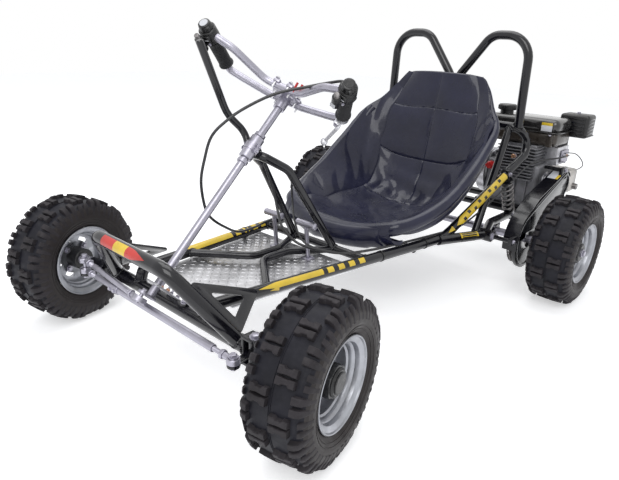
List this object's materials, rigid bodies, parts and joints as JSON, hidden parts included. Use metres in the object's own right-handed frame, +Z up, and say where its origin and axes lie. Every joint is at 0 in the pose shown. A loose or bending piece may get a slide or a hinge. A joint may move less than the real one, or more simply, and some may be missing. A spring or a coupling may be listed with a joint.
{
  "type": "drift kart",
  "caption": "Single-seat tube-frame drift kart with a sling seat, butterfly handlebar, twin roll hoops, knobby tyres and a small petrol engine behind the axle.",
  "frame": {"origin": "on the floor, under the middle of the kart's box", "axes": "the kart faces -Y, +X is the driver's left, +Z is up"},
  "size_m": [1.112, 1.6784, 0.7899],
  "materials": {
    "black_paint": "gloss",
    "bright_steel": "satin",
    "tread_rubber": "matte",
    "rim_paint": "satin",
    "black_plastic": "matte",
    "seat_vinyl": "satin",
    "cast_grey": "rough cast",
    "tread_plate": "satin",
    "red_plastic": "gloss"
  },
  "bodies": {
    "frame": {"air_cleaner": "black_plastic", "brake_caliper": "cast_grey", "chain_guard": "black_paint", "column_bracket": "bright_steel", "column_sleeve": "bright_steel", "drive_chain": "bright_steel", "engine_block": "cast_grey", "engine_plate": "black_paint", "floor_plate": "tread_plate", "front_axle_beam": "black_paint", "front_bumper": "black_paint", "front_cross_tube": "black_paint", "fuel_cap": "black_plastic", "fuel_tank": "black_paint", "hand_lever": "black_paint", "hoop_cross_plate": "black_paint", "left_diagonal_brace": "black_paint", "left_foot_peg": "bright_steel", "left_gusset_plate": "black_paint", "left_inner_rail": "black_paint", "left_lower_rail": "black_paint", "left_main_rail": "black_paint", "left_roll_hoop": "black_paint", "left_shock": "bright_steel", "muffler": "bright_steel", "oil_filler_cap": "red_plastic", "recoil_starter": "bright_steel", "right_diagonal_brace": "black_paint", "right_foot_peg": "bright_steel", "right_gusset_plate": "black_paint", "right_inner_rail": "black_paint", "right_lower_rail": "black_paint", "right_main_rail": "black_paint", "right_roll_hoop": "black_paint", "right_shock": "bright_steel", "seat": "seat_vinyl", "seat_cross_tube": "black_paint", "steering_support": "black_paint", "swing_arm": "black_paint"},
    "steering": {"steering_column": "bright_steel", "steering_yoke": "bright_steel", "left_grip": "black_plastic", "right_grip": "black_plastic", "left_control": "black_plastic", "right_control": "black_plastic", "brake_lever": "bright_steel"},
    "left_knuckle": {"left_knuckle": "black_paint"},
    "right_knuckle": {"right_knuckle": "black_paint"},
    "tie_rod": {"tie_rod": "bright_steel"},
    "drag_link": {"drag_link": "bright_steel"},
    "left_front_wheel": {"left_front_rim": "rim_paint", "left_front_tyre": "tread_rubber"},
    "right_front_wheel": {"right_front_rim": "rim_paint", "right_front_tyre": "tread_rubber"},
    "rear_axle": {"rear_axle": "bright_steel", "left_rear_rim": "rim_paint", "left_rear_tyre": "tread_rubber", "right_rear_rim": "rim_paint", "right_rear_tyre": "tread_rubber"}
  },
  "joints": [
    {"name": "steering", "type": "hinge", "parent": "frame", "child": "steering", "pos_m": [0, -0.6426, 0.256], "axis": [0, 0.7071, 0.7071], "range_deg": [-74, 26]},
    {"name": "left_kingpin", "type": "hinge", "parent": "frame", "child": "left_knuckle", "pos_m": [0.282, -0.6426, 0.16458], "axis": [0, 0, 1], "range_deg": [-37, 13]},
    {"name": "right_kingpin", "type": "hinge", "parent": "frame", "child": "right_knuckle", "pos_m": [-0.282, -0.6426, 0.16458], "axis": [0, 0, 1], "range_deg": [-37, 13]},
    {"name": "left_front_wheel_spin", "type": "hinge", "parent": "left_knuckle", "child": "left_front_wheel", "pos_m": [0.41601, -0.61412, 0.16458], "axis": [0.9781, 0.2079, 0], "continuous": true},
    {"name": "right_front_wheel_spin", "type": "hinge", "parent": "right_knuckle", "child": "right_front_wheel", "pos_m": [-0.41601, -0.67108, 0.16458], "axis": [0.9781, 0.2079, 0], "continuous": true},
    {"name": "rear_axle_spin", "type": "hinge", "parent": "frame", "child": "rear_axle", "pos_m": [0, 0.4454, 0.16458], "axis": [1, 0, 0], "continuous": true},
    {"name": "tie_rod_pivot", "type": "hinge", "parent": "left_knuckle", "child": "tie_rod", "pos_m": [0.29655, -0.71107, 0.182], "axis": [0, 0, 1], "range_deg": [-13, 37]},
    {"name": "drag_link_pivot", "type": "hinge", "parent": "right_knuckle", "child": "drag_link", "pos_m": [-0.26745, -0.71107, 0.21], "axis": [0, 0, 1], "range_deg": [-13, 37]}
  ],
  "couplings": [
    {"joint": "left_kingpin", "follows": "steering", "ratio": 0.5},
    {"joint": "right_kingpin", "follows": "steering", "ratio": 0.5},
    {"joint": "tie_rod_pivot", "follows": "steering", "ratio": -0.5},
    {"joint": "drag_link_pivot", "follows": "steering", "ratio": -0.5}
  ]
}
